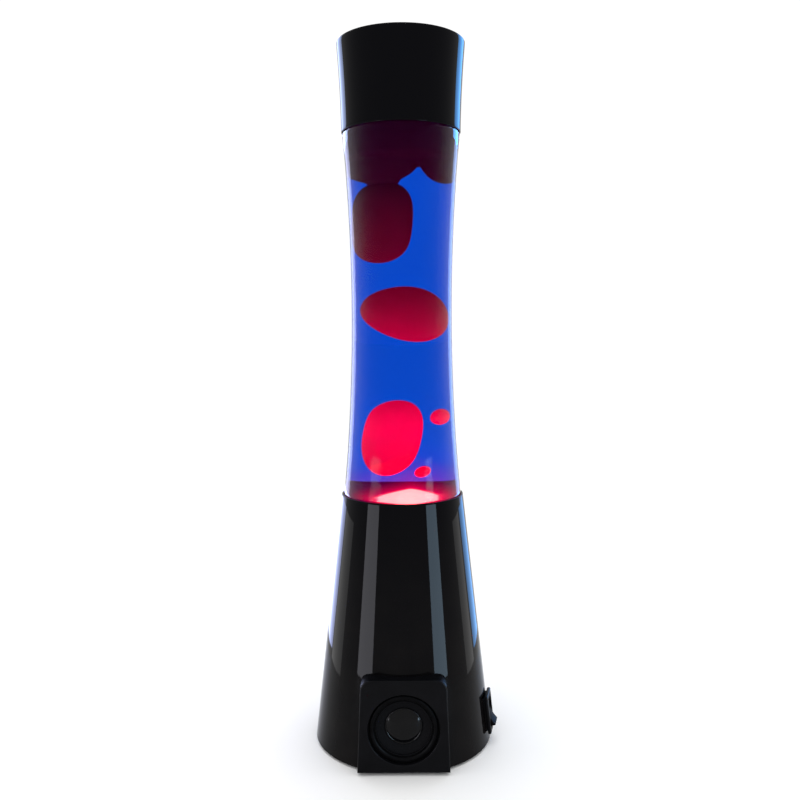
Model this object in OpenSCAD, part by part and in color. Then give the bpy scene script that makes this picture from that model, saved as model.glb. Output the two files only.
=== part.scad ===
// Lava lamp with a loudspeaker in its base.
// The lamp stands on the plane z = 0 with its axis on Z. The loudspeaker faces -Y, the
// rocker switch is on the right beside +X, and the cord gland is on the right at the back.

/* [Whole lamp] */
// Height from the surface it stands on to the top of the cap
lamp_h = 400; // [396:1:404]
// How far the rubber feet stand out below the rim of the base
foot_proud = 1.2; // [0.8:0.1:1.6]

/* [Base] */
// Radius of the spun cone at its bottom rim
base_foot_r = 51.8; // [51.4:0.1:52]
// Radius of the spun cone at its top rim
base_rim_r = 35.3; // [35.2:0.1:36]
// Height of the top rim of the cone
base_rim_z = 145.8; // [144:0.1:147]
// Thickness of the spun metal
shell_wall = 0.9; // [0.7:0.1:1]
// Thickness of the plate that closes the base
plate_t = 2.4; // [2:0.1:2.6]

/* [Bottle] */
// Radius of the glass at its waist
waist_r = 28.8; // [28:0.1:29]
// Height of the waist
waist_z = 252; // [248:1:256]
// Radius of the long arc that the side of the glass follows
waist_arc_r = 1080; // [1050:10:1200]
// Thickness of the glass
glass_wall = 2.4; // [2:0.1:2.8]
// Height of the bottom of the bottle
bottle_floor_z = 122; // [121:0.5:124]
// Radius of the neck
neck_r = 13.3; // [12.5:0.1:13.5]

/* [Cap] */
// Height of the lower rim of the cap
cap_rim_z = 350.7; // [350.5:0.1:352]
// Radius of the cap at its lower rim
cap_rim_r = 33.7; // [33.6:0.1:34.5]
// Radius of the cap at its top
cap_top_r = 36; // [35.5:0.1:37]
// Thickness of the cap
cap_wall = 1; // [0.8:0.1:1.1]

/* [Speaker] */
// Width of the speaker box along its bottom edge
box_bottom_w = 50.6; // [50:0.1:52]
// Width of the speaker box along its top edge
box_top_w = 46.4; // [46:0.1:48]
// Height of the top of the speaker box
box_top_z = 53.3; // [52.8:0.1:54]
// Distance from the lamp's axis to the face of the speaker box
box_face = 52; // [52:0.1:52.5]
// Radius of the upper corners of the box
box_corner_r = 5; // [4:0.5:6]
// Height of the middle of the loudspeaker
speaker_z = 25.8; // [25.6:0.1:26]
// Radius of the round opening in front of the loudspeaker
speaker_hole_r = 19.6; // [19.3:0.1:19.7]
// Radius of the dust cap
dust_cap_r = 10.2; // [9.5:0.1:10.5]

/* [Switch] */
// Direction that the switch faces, in degrees from +X towards +Y
switch_azimuth = -12; // [-16:1:-10]
// Height of the middle of the switch
switch_z = 17.6; // [17:0.1:19]
// Height of the switch bezel
bezel_h = 22; // [21.4:0.1:23]
// Width of the switch bezel
bezel_w = 15.4; // [15:0.1:16]
// Angle from one end of the rocker's travel to the other
rocker_throw = 20; // [16:1:20]

/* [Hidden] */
$fn = 72;

// Gaps: between neighbours that never move, between bodies that part, and for press-in pieces
touch = 0.05;
clear = 0.3;
seat_gap = 0.1;

// The cone: its slope, the lean of its wall in degrees, and its radius at a height
shell_slope = (base_foot_r - base_rim_r) / (base_rim_z - foot_proud);
wall_lean = atan(shell_slope);
function shell_r(z) = base_foot_r - shell_slope * (z - foot_proud);

// The glass: a straight foot inside the base, one long arc, and a ledge under the cap
foot_r = waist_r + pow(base_rim_z - waist_z, 2) / (2 * waist_arc_r);
ledge_z = cap_rim_z - 1.3;
ledge_r = waist_r + pow(ledge_z - waist_z, 2) / (2 * waist_arc_r);
ledge_round = 1.2;
shoulder_h = 14;
neck_top_z = 388;
foot_round = 6;
glass_floor = 5;
glass_steps = 20;
function glass_r(z) = waist_r + pow(z - waist_z, 2) / (2 * waist_arc_r);

// The cap: how wide it is at u of its height above the rim
cap_h = lamp_h - cap_rim_z;
function cap_r(u) = cap_rim_r + (cap_top_r - cap_rim_r) * (0.28 * u + 0.72 * u * u);

// The speaker: planes along Y, measured from the box's face inwards
box_bottom_z = foot_proud + 0.5;
box_wall = 1.9;
box_front_t = 2.2;
box_back = 38;
baffle_y = -box_face + box_front_t;
surround_lip_t = 0.5;
basket_flange_r = 22;
basket_flange_t = 0.8;
basket_neck_r = 12;
basket_depth = 9.5;
magnet_r = 13.5;
magnet_t = 8;
coil_r = 5.2;
cone_edge_r = 15.6;
slot_half_w = 15.4;
slot_h = 12;

// The switch
housing_h = 18.8;
housing_w = 12.8;
housing_depth = 13;
bezel_stand_off = 0.5;
bezel_t = 2;
pivot_z = -1.5;
rocker_half_h = 7.7;
rocker_w = 10.4;
pivot_r = 1;
rocker_rest = rocker_throw / 2;

// Boards: [left, front, width, depth] on the bottom plate
mains_pcb = [-37, -14, 24, 30];
amp_pcb = [-16, 22.4, 32, 20];
plate_z = foot_proud + 0.8;
plate_top = plate_z + plate_t;
pillar_h = 5;
pcb_z = plate_top + pillar_h;
pcb_t = 1.6;
pcb_inset = 3;

// The lampholder hangs on an arm across the middle of the base
arm_z = 36;
strip_t = 1.5;
strip_w = 12;
leg_y = 19;
foot_len = 9;
holder_z = arm_z + strip_t;
holder_top = 66;
bulb_top_z = 112;

gland_azimuth = 30;
gland_z = 14;
gland_bore_r = 3.1;
gland_body_w = 9.2;
foot_ring_r = 40;
plate_screw_r = 45.5;
plate_screw_angles = [90, 210, 330];

// Routes of the leads inside the base
lead_r = 0.9;
lead_sides = 8;
gland_to_switch = [[32, 18.6, 12], [28.5, 14, 11.2], [25, 7.5, 10.4], [24.2, 1, 9.8],
    [25, -3.4, 9.8], [28, -5.9, 10.2]];
gland_to_holder = [[32, 17, 15.4], [25, 13, 18], [16, 8.4, 22], [8, 4, 25], [1, 2.2, 26.6],
    [-1.2, 0.7, 29.4], [-1.3, 0, 33], [-1.3, 0, 40]];
switch_to_holder = [[28, -5.9, 19.2], [24, -4.8, 20.2], [16, -3.2, 20.8], [8, -1.9, 21.6], [3.4, -1.4, 23.2],
    [1.5, -0.7, 27], [1.3, 0, 33], [1.3, 0, 40]];
gland_to_board = [[31.4, 20.4, 14], [24, 16.4, 14.6], [14, 12.6, 14.6], [3, 11.6, 14.6],
    [-7, 11, 15.4], [-13, 10, 17.4], [-16.5, 9.4, 18.6]];
speaker_lead = [[-8.9, 24, 12.2], [-9.6, 20.6, 11.6], [-9.8, 14, 8.6], [-9.8, 4, 7.4], [-9.9, -8, 7.4],
    [-10.6, -20, 7.8], [-13, -29, 9.8], [-16, -35, 13.4], [-17.6, -39, 17.4]];
lead_pitch = 2.3;

glass_blue = "lightblue";
wax_red = "crimson";
gloss_black = [0.05, 0.05, 0.06];
satin_black = [0.12, 0.12, 0.13];
steel = [0.65, 0.66, 0.68];

// Bowed solids of revolution for wax: r wide, up above and down below their middle
module drop(x, z, r, up, down, grow = 0) {
    step = 15;
    translate([x, 0, z])
        rotate_extrude()
            polygon([for (a = [-90:step:90])
                [(r + grow) * cos(a) * (abs(a) == 90 ? 0 : 1), ((a > 0 ? up : down) + grow) * sin(a)]]);
}

// Plain pan-head screw, head at z = 0 upwards and shank below
module screw(head_r, head_h, shank_r, shank_l) {
    cylinder(r = head_r, h = head_h);
    translate([0, 0, -shank_l]) cylinder(r = shank_r, h = shank_l + touch);
}

// Everything within the outside of the cone, grown by a gap
module cone_solid(gap) {
    translate([0, 0, foot_proud])
        cylinder(r1 = base_foot_r + gap, r2 = base_rim_r + gap, h = base_rim_z - foot_proud);
}

// Children in the switch's own place: local Z points out of the wall, -X up along it
module at_wall(azimuth, z) {
    rotate([0, 0, azimuth])
        translate([shell_r(z), 0, z])
            rotate([0, 90 - wall_lean, 0])
                children();
}

// Children on the loudspeaker's axis: local Z runs inwards from the back of the box's front wall
module on_speaker_axis() {
    translate([0, baffle_y, speaker_z])
        rotate([-90, 0, 0])
            children();
}

module base_shell() {
    color(gloss_black) difference() {
        union() {
            rotate_extrude() polygon([
                [base_foot_r, foot_proud],
                [base_rim_r, base_rim_z],
                [base_rim_r - shell_wall, base_rim_z],
                [base_foot_r - shell_wall, foot_proud]
            ]);
            // Lugs that the bottom plate is screwed to
            intersection() {
                for (a = plate_screw_angles)
                    rotate([0, 0, a])
                        translate([plate_screw_r - 3.5, -4, plate_top + touch])
                            cube([12, 8, 1.5]);
                cone_solid(-shell_wall / 2);
            }
        }
        // Way in for the loudspeaker, open to the bottom rim
        translate([0, 0, speaker_z]) rotate([90, 0, 0]) cylinder(r = speaker_hole_r + 0.3, h = 60);
        translate([-slot_half_w, -60, 0]) cube([2 * slot_half_w, 30, slot_h]);
        // Switch cut-out and the square hole that keeps the gland from turning
        at_wall(switch_azimuth, switch_z)
            cube([housing_h + 0.6, housing_w + 0.6, 12], center = true);
        at_wall(gland_azimuth, gland_z)
            cube([gland_body_w + 0.4, gland_body_w + 0.4, 12], center = true);
        for (a = plate_screw_angles)
            rotate([0, 0, a]) translate([plate_screw_r, 0, 0]) cylinder(r = 1.3, h = 12);
        for (p = box_screw_places())
            translate([p[0], 0, p[1]]) rotate([90, 0, 0]) cylinder(r = 1.3, h = 60);
    }
}

module bottle_seat() {
    low = bottle_floor_z - clear - 3.1;
    flange = bottle_floor_z - clear;
    top = 132;
    edge = shell_wall + seat_gap;
    color(satin_black) rotate_extrude() polygon([
        [24.5, low],
        [shell_r(low) - edge, low],
        [shell_r(top) - edge, top],
        [foot_r + clear + 0.1, top],
        [foot_r + clear + 0.1, flange],
        [24.5, flange]
    ]);
}

module bottom_plate() {
    vents = 12;
    color(satin_black) difference() {
        union() {
            translate([0, 0, plate_z]) cylinder(r = shell_r(plate_top) - shell_wall - 0.2, h = plate_t);
            for (b = [mains_pcb, amp_pcb]) at_corners(b)
                translate([0, 0, plate_top - touch]) cylinder(r = 2.6, h = pillar_h + touch);
        }
        // Room for the foot of the speaker box
        translate([-slot_half_w - 0.2, -60, 0]) cube([2 * slot_half_w + 0.4, 60 - 46.2, 20]);
        for (i = [0:vents - 1])
            rotate([0, 0, (i + 0.5) * 360 / vents]) translate([9, -1.2, 0]) cube([7.5, 2.4, 20]);
        for (b = [mains_pcb, amp_pcb]) at_corners(b)
            translate([0, 0, plate_top]) cylinder(r = 1.05, h = pillar_h + 1);
        for (a = plate_screw_angles)
            rotate([0, 0, a]) translate([plate_screw_r, 0, 0]) cylinder(r = 1.7, h = 20);
        for (s = [-1, 1])
            translate([0, s * (leg_y + 6), 0]) cylinder(r = 1.7, h = 20);
    }
}

// Children at the four screw places of a board
module at_corners(b) {
    for (x = [pcb_inset, b[2] - pcb_inset], y = [pcb_inset, b[3] - pcb_inset])
        translate([b[0] + x, b[1] + y, 0]) children();
}

module bottom_screws() {
    color(steel)
        for (a = plate_screw_angles)
            rotate([0, 0, a]) translate([plate_screw_r, 0, plate_z - touch / 2])
                rotate([180, 0, 0]) screw(2.8, 0.7, 1.25, 7);
}

module rubber_feet() {
    color([0.1, 0.1, 0.1])
        for (a = [45:90:315])
            rotate([0, 0, a]) translate([foot_ring_r, 0, 0]) cylinder(r = 5, h = plate_z);
}

// Outline of the speaker box in X and Z: sloping sides, square feet and round upper corners
module box_outline(inset) {
    foot = box_bottom_w / 2 - inset;
    head = box_top_w / 2 - inset;
    top = box_top_z - inset;
    bottom = box_bottom_z + inset;
    r = box_corner_r - inset / 2;
    corner = [for (a = [0:15:90]) [head - r + r * cos(a), top - r + r * sin(a)]];
    polygon(concat(
        [[-foot, bottom], [foot, bottom]],
        corner,
        [for (i = [len(corner) - 1:-1:0]) [-corner[i][0], corner[i][1]]]
    ));
}

function box_screw_places() = [[-18.6, 46.4], [18.6, 46.4], [-20, 7.8], [20, 7.8]];

module speaker_box() {
    slot_fit = slot_half_w - 0.3;
    color(satin_black) difference() {
        union() {
            difference() {
                union() {
                    difference() {
                        translate([0, -box_back, 0]) rotate([90, 0, 0])
                            linear_extrude(box_face - box_back) box_outline(0);
                        translate([0, -box_back + 1, 0]) rotate([90, 0, 0])
                            linear_extrude(box_face - box_back - box_front_t + 1) box_outline(box_wall);
                    }
                    // Screw bosses in the corners
                    for (p = box_screw_places())
                        translate([p[0], -box_back, p[1]]) rotate([90, 0, 0])
                            cylinder(r = 2.6, h = box_face - box_back - 1);
                }
                // The back follows the cone
                cone_solid(touch);
            }
            // Foot and lower front wall, which fill the slot in the cone
            translate([-slot_fit, -box_face, box_bottom_z])
                cube([2 * slot_fit, box_face - 46.9, box_wall]);
            translate([-slot_fit, -box_face, box_bottom_z])
                cube([2 * slot_fit, box_front_t, slot_h - 0.3 - box_bottom_z]);
        }
        translate([0, -box_back, speaker_z]) rotate([90, 0, 0]) cylinder(r = speaker_hole_r, h = 30);
        for (p = box_screw_places())
            translate([p[0], -box_back, p[1]]) rotate([90, 0, 0]) cylinder(r = 0.95, h = 11);
        on_speaker_axis() for (a = [0:90:270])
            rotate([0, 0, a]) translate([20.8, 0, -1.5]) cylinder(r = 0.8, h = 4);
    }
}

module speaker_box_screws() {
    reach = 4.2;
    head_r = 2.1;
    color(steel)
        for (p = box_screw_places()) {
            inner = shell_r(p[1] + head_r) - shell_wall - touch;
            seat_y = -sqrt(pow(inner, 2) - pow(abs(p[0]) + head_r, 2));
            translate([p[0], seat_y, p[1]]) rotate([-90, 0, 0]) screw(head_r, 1.3, 0.9, reach);
        }
}

module speaker_basket() {
    back = surround_lip_t + basket_flange_t + basket_depth;
    f = surround_lip_t + touch;
    color(steel) on_speaker_axis() difference() {
        rotate_extrude() polygon([
            [19, f],
            [basket_flange_r, f],
            [basket_flange_r, f + basket_flange_t],
            [19, f + basket_flange_t],
            [basket_neck_r + 0.8, back],
            [coil_r + 1.3, back],
            [coil_r + 1.3, back - 0.8],
            [basket_neck_r, back - 0.8],
            [18.2, f + basket_flange_t]
        ]);
        // Four windows between the arms
        for (a = [45:90:315])
            rotate([0, 0, a]) translate([10, -6, 3.4]) cube([14, 12, 4.6]);
        for (a = [0:90:270])
            rotate([0, 0, a]) translate([20.8, 0, 0]) cylinder(r = 0.9, h = 4);
    }
}

module speaker_screws() {
    color(steel) on_speaker_axis()
        for (a = [0:90:270])
            rotate([0, 0, a]) translate([20.8, 0, surround_lip_t + basket_flange_t + 2 * touch])
                screw(1.1, 0.9, 0.75, 2.6);
}

module speaker_magnet() {
    front = surround_lip_t + basket_flange_t + basket_depth + touch;
    color([0.25, 0.25, 0.27]) on_speaker_axis() translate([0, 0, front]) difference() {
        cylinder(r = magnet_r, h = magnet_t);
        // Gap that the voice coil works in, round the pole piece
        difference() {
            translate([0, 0, -1]) cylinder(r = coil_r + 0.7, h = magnet_t - 1.5);
            translate([0, 0, -2]) cylinder(r = coil_r - 0.9, h = magnet_t + 1);
        }
    }
}

module speaker_spider() {
    at = 8;
    color("khaki") on_speaker_axis() difference() {
        translate([0, 0, at]) cylinder(r = 12.8, h = 0.5);
        translate([0, 0, at - 1]) cylinder(r = coil_r + 0.6, h = 3);
        // Corrugations
        for (r = [7.4, 9.4, 11.4])
            translate([0, 0, at]) rotate_extrude() translate([r, 0]) circle(r = 0.25);
    }
}

module speaker_surround() {
    inner_edge = cone_edge_r + 0.4;
    outer_edge = 18.9;
    middle = (inner_edge + outer_edge) / 2;
    outer = (outer_edge - inner_edge) / 2;
    color([0.08, 0.08, 0.08]) on_speaker_axis() union() {
        difference() {
            cylinder(r = 21.8, h = surround_lip_t);
            translate([0, 0, -1]) cylinder(r = 18.8, h = 4);
            for (a = [0:90:270])
                rotate([0, 0, a]) translate([20.8, 0, -1]) cylinder(r = 0.9, h = 4);
        }
        // Half-round roll that bulges out towards the front
        rotate_extrude() difference() {
            translate([middle, surround_lip_t]) circle(r = outer);
            translate([middle, surround_lip_t]) circle(r = outer - 0.45);
            translate([0, surround_lip_t]) square([40, 10]);
        }
    }
}

module speaker_cone() {
    t = 0.45;
    color([0.16, 0.16, 0.17]) on_speaker_axis() rotate_extrude() polygon([
        [cone_edge_r, 1.2],
        [dust_cap_r, 3.7],
        [coil_r + 0.15, 6.2],
        [coil_r + 0.15, 6.2 + t],
        [dust_cap_r, 3.7 + t],
        [cone_edge_r, 1.2 + t]
    ]);
}

// Ball radius that gives a dome of this base radius and height
function dome_ball(r, h) = (r * r + h * h) / (2 * h);

module dust_cap() {
    rise = 2.8;
    t = 0.3;
    ball = dome_ball(dust_cap_r - 0.1, rise);
    color([0.1, 0.1, 0.11]) on_speaker_axis() intersection() {
        translate([0, 0, 3.5 - rise + ball]) difference() {
            sphere(r = ball);
            sphere(r = ball - t);
        }
        cylinder(r = dust_cap_r, h = 3.5);
    }
}

module voice_coil() {
    front = 6.2;
    color([0.72, 0.45, 0.2]) on_speaker_axis() translate([0, 0, front]) difference() {
        cylinder(r = coil_r + 0.1, h = 9);
        translate([0, 0, -1]) cylinder(r = coil_r - 0.25, h = 20);
    }
}

module lampholder_bracket() {
    color(steel) difference() {
        union() {
            translate([-strip_w / 2, -leg_y - strip_t, arm_z]) cube([strip_w, 2 * (leg_y + strip_t), strip_t]);
            for (s = [-1, 1]) {
                translate([-strip_w / 2, s * (leg_y + strip_t / 2) - strip_t / 2, plate_top + touch])
                    cube([strip_w, strip_t, arm_z - plate_top]);
                translate([-strip_w / 2, s * (leg_y + foot_len / 2) - foot_len / 2, plate_top + touch])
                    cube([strip_w, foot_len, strip_t]);
            }
        }
        translate([0, 0, arm_z - 1]) cylinder(r = 5.1, h = 4);
        for (s = [-1, 1])
            translate([0, s * (leg_y + 6), plate_top - 1]) cylinder(r = 1.7, h = 4);
    }
}

module bracket_screws() {
    color(steel)
        for (s = [-1, 1])
            translate([0, s * (leg_y + 6), plate_top + strip_t + 2 * touch])
                screw(2.6, 1.2, 1.5, 4);
}

module lampholder() {
    color([0.9, 0.9, 0.86]) difference() {
        union() {
            translate([0, 0, holder_z + touch]) cylinder(r = 10.5, h = 14);
            translate([0, 0, holder_z + 12]) cylinder(r = 13, h = holder_top - holder_z - 12);
            translate([0, 0, holder_z - 6]) cylinder(r = 4.9, h = 7);
        }
        translate([0, 0, 43.4]) cylinder(r = 7.3, h = 40);
        translate([0, 0, 20]) cylinder(r = 3, h = 40);
    }
}

module lampholder_nut() {
    color(steel) translate([0, 0, arm_z - touch - 2.6]) difference() {
        cylinder(r = 8, h = 2.6, $fn = 6);
        translate([0, 0, -1]) cylinder(r = 5, h = 5);
    }
}

module bulb_cap() {
    threads = 5;
    color("silver") union() {
        translate([0, 0, 48]) cylinder(r = 6.4, h = 18.4);
        // Rolled thread, as plain ridges
        for (i = [0:threads - 1])
            translate([0, 0, 49.5 + i * 2.8]) rotate_extrude() translate([6.35, 0]) circle(r = 0.7);
        translate([0, 0, 45.2]) cylinder(r1 = 3.4, r2 = 6.4, h = 2.8 + touch);
        translate([0, 0, 43.9]) cylinder(r = 2.4, h = 1.4);
    }
}

module bulb_glass() {
    wall = 0.8;
    color([0.95, 0.95, 0.9]) rotate_extrude() difference() {
        bulb_outline(0);
        bulb_outline(wall);
    }
}

// Half outline of the reflector bulb, inset by the thickness of its glass
module bulb_outline(inset) {
    belly = 19.5 - inset;
    dome_h = 8 - inset;
    low = 66.6 + inset;
    polygon(concat(
        [[0, low], [7.2 - inset, low], [7.8 - inset, 72], [9.6 - inset, 78], [16.6 - inset, 92],
            [belly, 100], [belly, bulb_top_z - 8]],
        [for (a = [15:15:75]) [belly * cos(a), bulb_top_z - 8 + dome_h * sin(a)]],
        [[0, bulb_top_z - inset]]
    ));
}

module board(b) {
    difference() {
        translate([b[0], b[1], pcb_z + touch]) cube([b[2], b[3], pcb_t]);
        at_corners(b) translate([0, 0, pcb_z - 1]) cylinder(r = 1.4, h = 5);
    }
}

parts_z = pcb_z + pcb_t + 2 * touch;

module mains_board() {
    color([0.6, 0.5, 0.2]) board(mains_pcb);
}

// Transformer, smoothing capacitors, fuse and the terminal block of the mains board
module mains_board_parts() {
    color([0.85, 0.75, 0.2]) translate([mains_pcb[0], mains_pcb[1], parts_z]) {
        translate([5.5, 9, 0]) cube([13, 11, 10]);
        for (y = [4, 25.5]) translate([11, y, 0]) cylinder(r = 3.2, h = 9);
        translate([18.8, 19.5, 0]) cube([5, 5, 4.8]);
        translate([6, 22.5, 0]) cube([1.6, 2.6, 3]);
    }
}

module amplifier_board() {
    color([0.05, 0.35, 0.15]) board(amp_pcb);
}

// Radio module, amplifier chip, capacitors and the speaker socket of the amplifier board
module amplifier_board_parts() {
    color([0.2, 0.2, 0.22]) translate([amp_pcb[0], amp_pcb[1], parts_z]) {
        translate([19, 5.5, 0]) cube([12, 9, 1.8]);
        translate([10, 8, 0]) cube([6, 6, 1.4]);
        for (x = [9, 14]) translate([x, 3.6, 0]) cylinder(r = 1.8, h = 5);
        translate([5.5, 14, 0]) cube([7, 4, 3.2]);
    }
}

module board_screws() {
    color(steel)
        for (b = [mains_pcb, amp_pcb]) at_corners(b)
            translate([0, 0, parts_z + touch]) screw(2.1, 1.1, 1, 5);
}

module switch_housing() {
    pocket_h = 2 * 9;
    pocket_low_h = 2 * 8.5;
    pocket_w = 11;
    top = bezel_stand_off + bezel_t;
    color(satin_black) at_wall(switch_azimuth, switch_z) difference() {
        union() {
            translate([-bezel_h / 2, -bezel_w / 2, bezel_stand_off]) cube([bezel_h, bezel_w, bezel_t]);
            translate([-housing_h / 2, -housing_w / 2, -housing_depth])
                cube([housing_h, housing_w, housing_depth + bezel_stand_off + touch]);
        }
        translate([-pocket_h / 2, -pocket_w / 2, 0]) cube([pocket_h, pocket_w, top + 1]);
        translate([-pocket_low_h / 2, -pocket_w / 2, -7]) cube([pocket_low_h, pocket_w, 8]);
        translate([0, 0, pivot_z]) rotate([90, 0, 0]) cylinder(r = pivot_r + touch, h = 20, center = true);
    }
}

module switch_terminals() {
    color("gold") at_wall(switch_azimuth, switch_z)
        for (x = [-4.6, 4.6])
            translate([x - 0.4, -2.4, -housing_depth - touch - 7]) cube([0.8, 4.8, 7]);
}

// The rocker's lower end stands out at rest
module rocker() {
    end_z = 4;
    middle_z = 1.7;
    color([0.09, 0.09, 0.1]) at_wall(switch_azimuth, switch_z)
        translate([0, 0, pivot_z]) rotate([0, -rocker_rest, 0]) translate([0, 0, -pivot_z]) union() {
            translate([0, rocker_w / 2, 0]) rotate([90, 0, 0]) linear_extrude(rocker_w) polygon([
                [-rocker_half_h, end_z],
                [0, middle_z],
                [rocker_half_h, end_z],
                [rocker_half_h, -0.5],
                [4, -4],
                [-4, -4],
                [-rocker_half_h, -0.5]
            ]);
            translate([0, 0, pivot_z]) rotate([90, 0, 0])
                cylinder(r = pivot_r, h = rocker_w + 1.6, center = true);
        }
}

module cord_gland() {
    color(satin_black) at_wall(gland_azimuth, gland_z) difference() {
        union() {
            translate([0, 0, 0.3]) cylinder(r = 7, h = 2);
            translate([-gland_body_w / 2, -gland_body_w / 2, -8]) cube([gland_body_w, gland_body_w, 8.4]);
            translate([0, 0, -3.4]) cylinder(r = 6.9, h = 1.8);
        }
        translate([0, 0, -20]) cylinder(r = gland_bore_r, h = 40);
    }
}

// Round tube along a route: each ring is turned from the last one without twisting
function unit(v) = v / norm(v);
function along(pts, i) = unit(pts[min(i + 1, len(pts) - 1)] - pts[max(i - 1, 0)]);
function sideways(v, t) = unit(v - (v * t) * t);
function frames(pts, i = 0, last = [0.3, 0.5, 0.8]) =
    i == len(pts) ? [] : let (u = sideways(last, along(pts, i))) concat([u], frames(pts, i + 1, u));

// Two triangles between side k of ring i and the same side of ring j, with n sides to a ring
function patch(i, j, k, n) = let (m = (k + 1) % n)
    [[i * n + k, j * n + k, j * n + m], [i * n + k, j * n + m, i * n + m]];

module lead(pts) {
    u = frames(pts);
    n = lead_sides;
    last = len(pts) - 1;
    points = [for (i = [0:last], k = [0:n - 1])
        pts[i] + lead_r * (cos(360 * k / n) * u[i] + sin(360 * k / n) * cross(along(pts, i), u[i]))];
    walls = [for (i = [0:last - 1], k = [0:n - 1], f = patch(i, i + 1, k, n)) f];
    ends = [[for (k = [0:n - 1]) k], [for (k = [n - 1:-1:0]) last * n + k]];
    polyhedron(points, concat(walls, ends));
}

module mains_leads() {
    color("saddlebrown") {
        lead(gland_to_switch);
        lead(gland_to_holder);
        lead(switch_to_holder);
        lead(gland_to_board);
    }
}

module speaker_leads() {
    color("firebrick")
        for (i = [0, 1]) lead([for (p = speaker_lead) p + [lead_pitch * i, 0, 0]]);
}

// Outline of the outside of the bottle, from the middle of its floor up to the top of its neck
function bottle_side() = concat(
    [for (a = [-90:22.5:0]) [foot_r - foot_round + foot_round * cos(a),
        bottle_floor_z + foot_round + foot_round * sin(a)]],
    [for (i = [0:glass_steps]) let (z = base_rim_z + (ledge_z - base_rim_z) * i / glass_steps) [glass_r(z), z]],
    [for (a = [30:30:90]) [ledge_r - ledge_round + ledge_round * cos(a), ledge_z + ledge_round * sin(a)]],
    [for (a = [10:16:74]) [neck_r + (ledge_r - ledge_round - neck_r) * cos(a),
        ledge_z + ledge_round + shoulder_h * sin(a)]],
    [[neck_r, ledge_z + ledge_round + shoulder_h], [neck_r, neck_top_z]]
);

// The hollow: the same curve a wall's thickness further in, shrunk by a gap
function hollow_side(gap) =
    let (w = glass_wall + gap, floor = bottle_floor_z + glass_floor + gap, r0 = foot_r - w)
    concat(
        [[0, floor]],
        [for (a = [-90:22.5:0]) [r0 - 4 + 4 * cos(a), floor + 4 + 4 * sin(a)]],
        [for (i = [0:glass_steps]) let (z = base_rim_z + (ledge_z - base_rim_z) * i / glass_steps)
            [glass_r(z) - w, z]],
        [for (a = [10:16:74]) [neck_r - w + (ledge_r - neck_r) * cos(a), ledge_z + shoulder_h * sin(a)]],
        [[neck_r - w, ledge_z + shoulder_h]]
    );

module bottle_glass() {
    dish = 1.6;
    color(glass_blue, 0.4) difference() {
        rotate_extrude() polygon(concat([[0, bottle_floor_z + dish], [20, bottle_floor_z + dish / 2]],
            bottle_side(), [[0, neck_top_z]]));
        rotate_extrude() polygon(concat(hollow_side(0), [[neck_r - glass_wall, neck_top_z + 5],
            [0, neck_top_z + 5]]));
    }
}

liquid_top_z = 378;
pool_z = 147.8;
module hollow_space(gap) {
    rotate_extrude() polygon(concat(hollow_side(gap), [[neck_r - glass_wall - gap, liquid_top_z],
        [0, liquid_top_z]]));
}

module liquid() {
    color("blue", 0.5) difference() {
        hollow_space(touch);
        pool_shape(touch);
        blob_shapes(touch);
        top_shape(touch);
    }
}

coil_ring_r = 22;
coil_ring_z = bottle_floor_z + glass_floor + 3.4;
coil_turn_r = 2.4;

// The pool with its warm, domed middle
module pool_shape(grow) {
    translate([0, 0, bottle_floor_z]) cylinder(r = foot_r, h = pool_z + grow - bottle_floor_z);
    drop(3, pool_z - 2, 17, 4.6, 1, grow);
}

module wax_pool() {
    color(wax_red) difference() {
        intersection() {
            hollow_space(touch);
            pool_shape(0);
        }
        // Room for the heater coil
        translate([0, 0, coil_ring_z]) rotate_extrude()
            translate([coil_ring_r, 0]) circle(r = coil_turn_r + 0.9);
    }
}

module blob_shapes(grow) {
    drop(-7.6, 298.5, 12.8, 23.2, 20.6, grow);
    drop(1.4, 248.6, 18.6, 17, 16.6, grow);
    drop(-4.2, 178.5, 13.6, 21, 22, grow);
    drop(16, 189.8, 4.4, 4.8, 4.6, grow);
    drop(8.6, 158.2, 3.8, 3.4, 3.5, grow);
}

module wax_blobs() {
    color(wax_red) blob_shapes(0);
}

// The mass under the shoulder and the lobes that hang from it
module top_shape(grow) {
    translate([0, 0, 336 - grow]) cylinder(r = 60, h = 16 + 2 * grow);
    drop(-8, 338, 16.5, 5, 15.2, grow);
    drop(13.5, 338, 11.5, 5, 15.6, grow);
}

module wax_top() {
    color(wax_red) intersection() {
        hollow_space(touch);
        top_shape(0);
    }
}

// Coiled wire ring that lies on the floor of the bottle and spreads the heat
module heater_coil() {
    turns = 22;
    per_turn = 8;
    wire_r = 0.55;
    n = turns * per_turn;
    sides = 5;
    function centre(i) = let (a = 360 * i / n, b = 360 * i * turns / n)
        [(coil_ring_r + coil_turn_r * cos(b)) * cos(a), (coil_ring_r + coil_turn_r * cos(b)) * sin(a),
            coil_ring_z + coil_turn_r * sin(b)];
    function out(i) = let (a = 360 * i / n, b = 360 * i * turns / n)
        [cos(b) * cos(a), cos(b) * sin(a), sin(b)];
    function on(i) = unit(centre(i + 1) - centre(i - 1));
    points = [for (i = [0:n - 1], k = [0:sides - 1])
        centre(i) + wire_r * (cos(360 * k / sides) * out(i) + sin(360 * k / sides) * cross(on(i), out(i)))];
    walls = [for (i = [0:n - 1], k = [0:sides - 1], f = patch(i, (i + 1) % n, k, sides)) f];
    color(steel) polyhedron(points, walls);
}

module crown_liner() {
    color("white") translate([0, 0, neck_top_z + touch]) cylinder(r = 12.6, h = 0.8);
}

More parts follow.
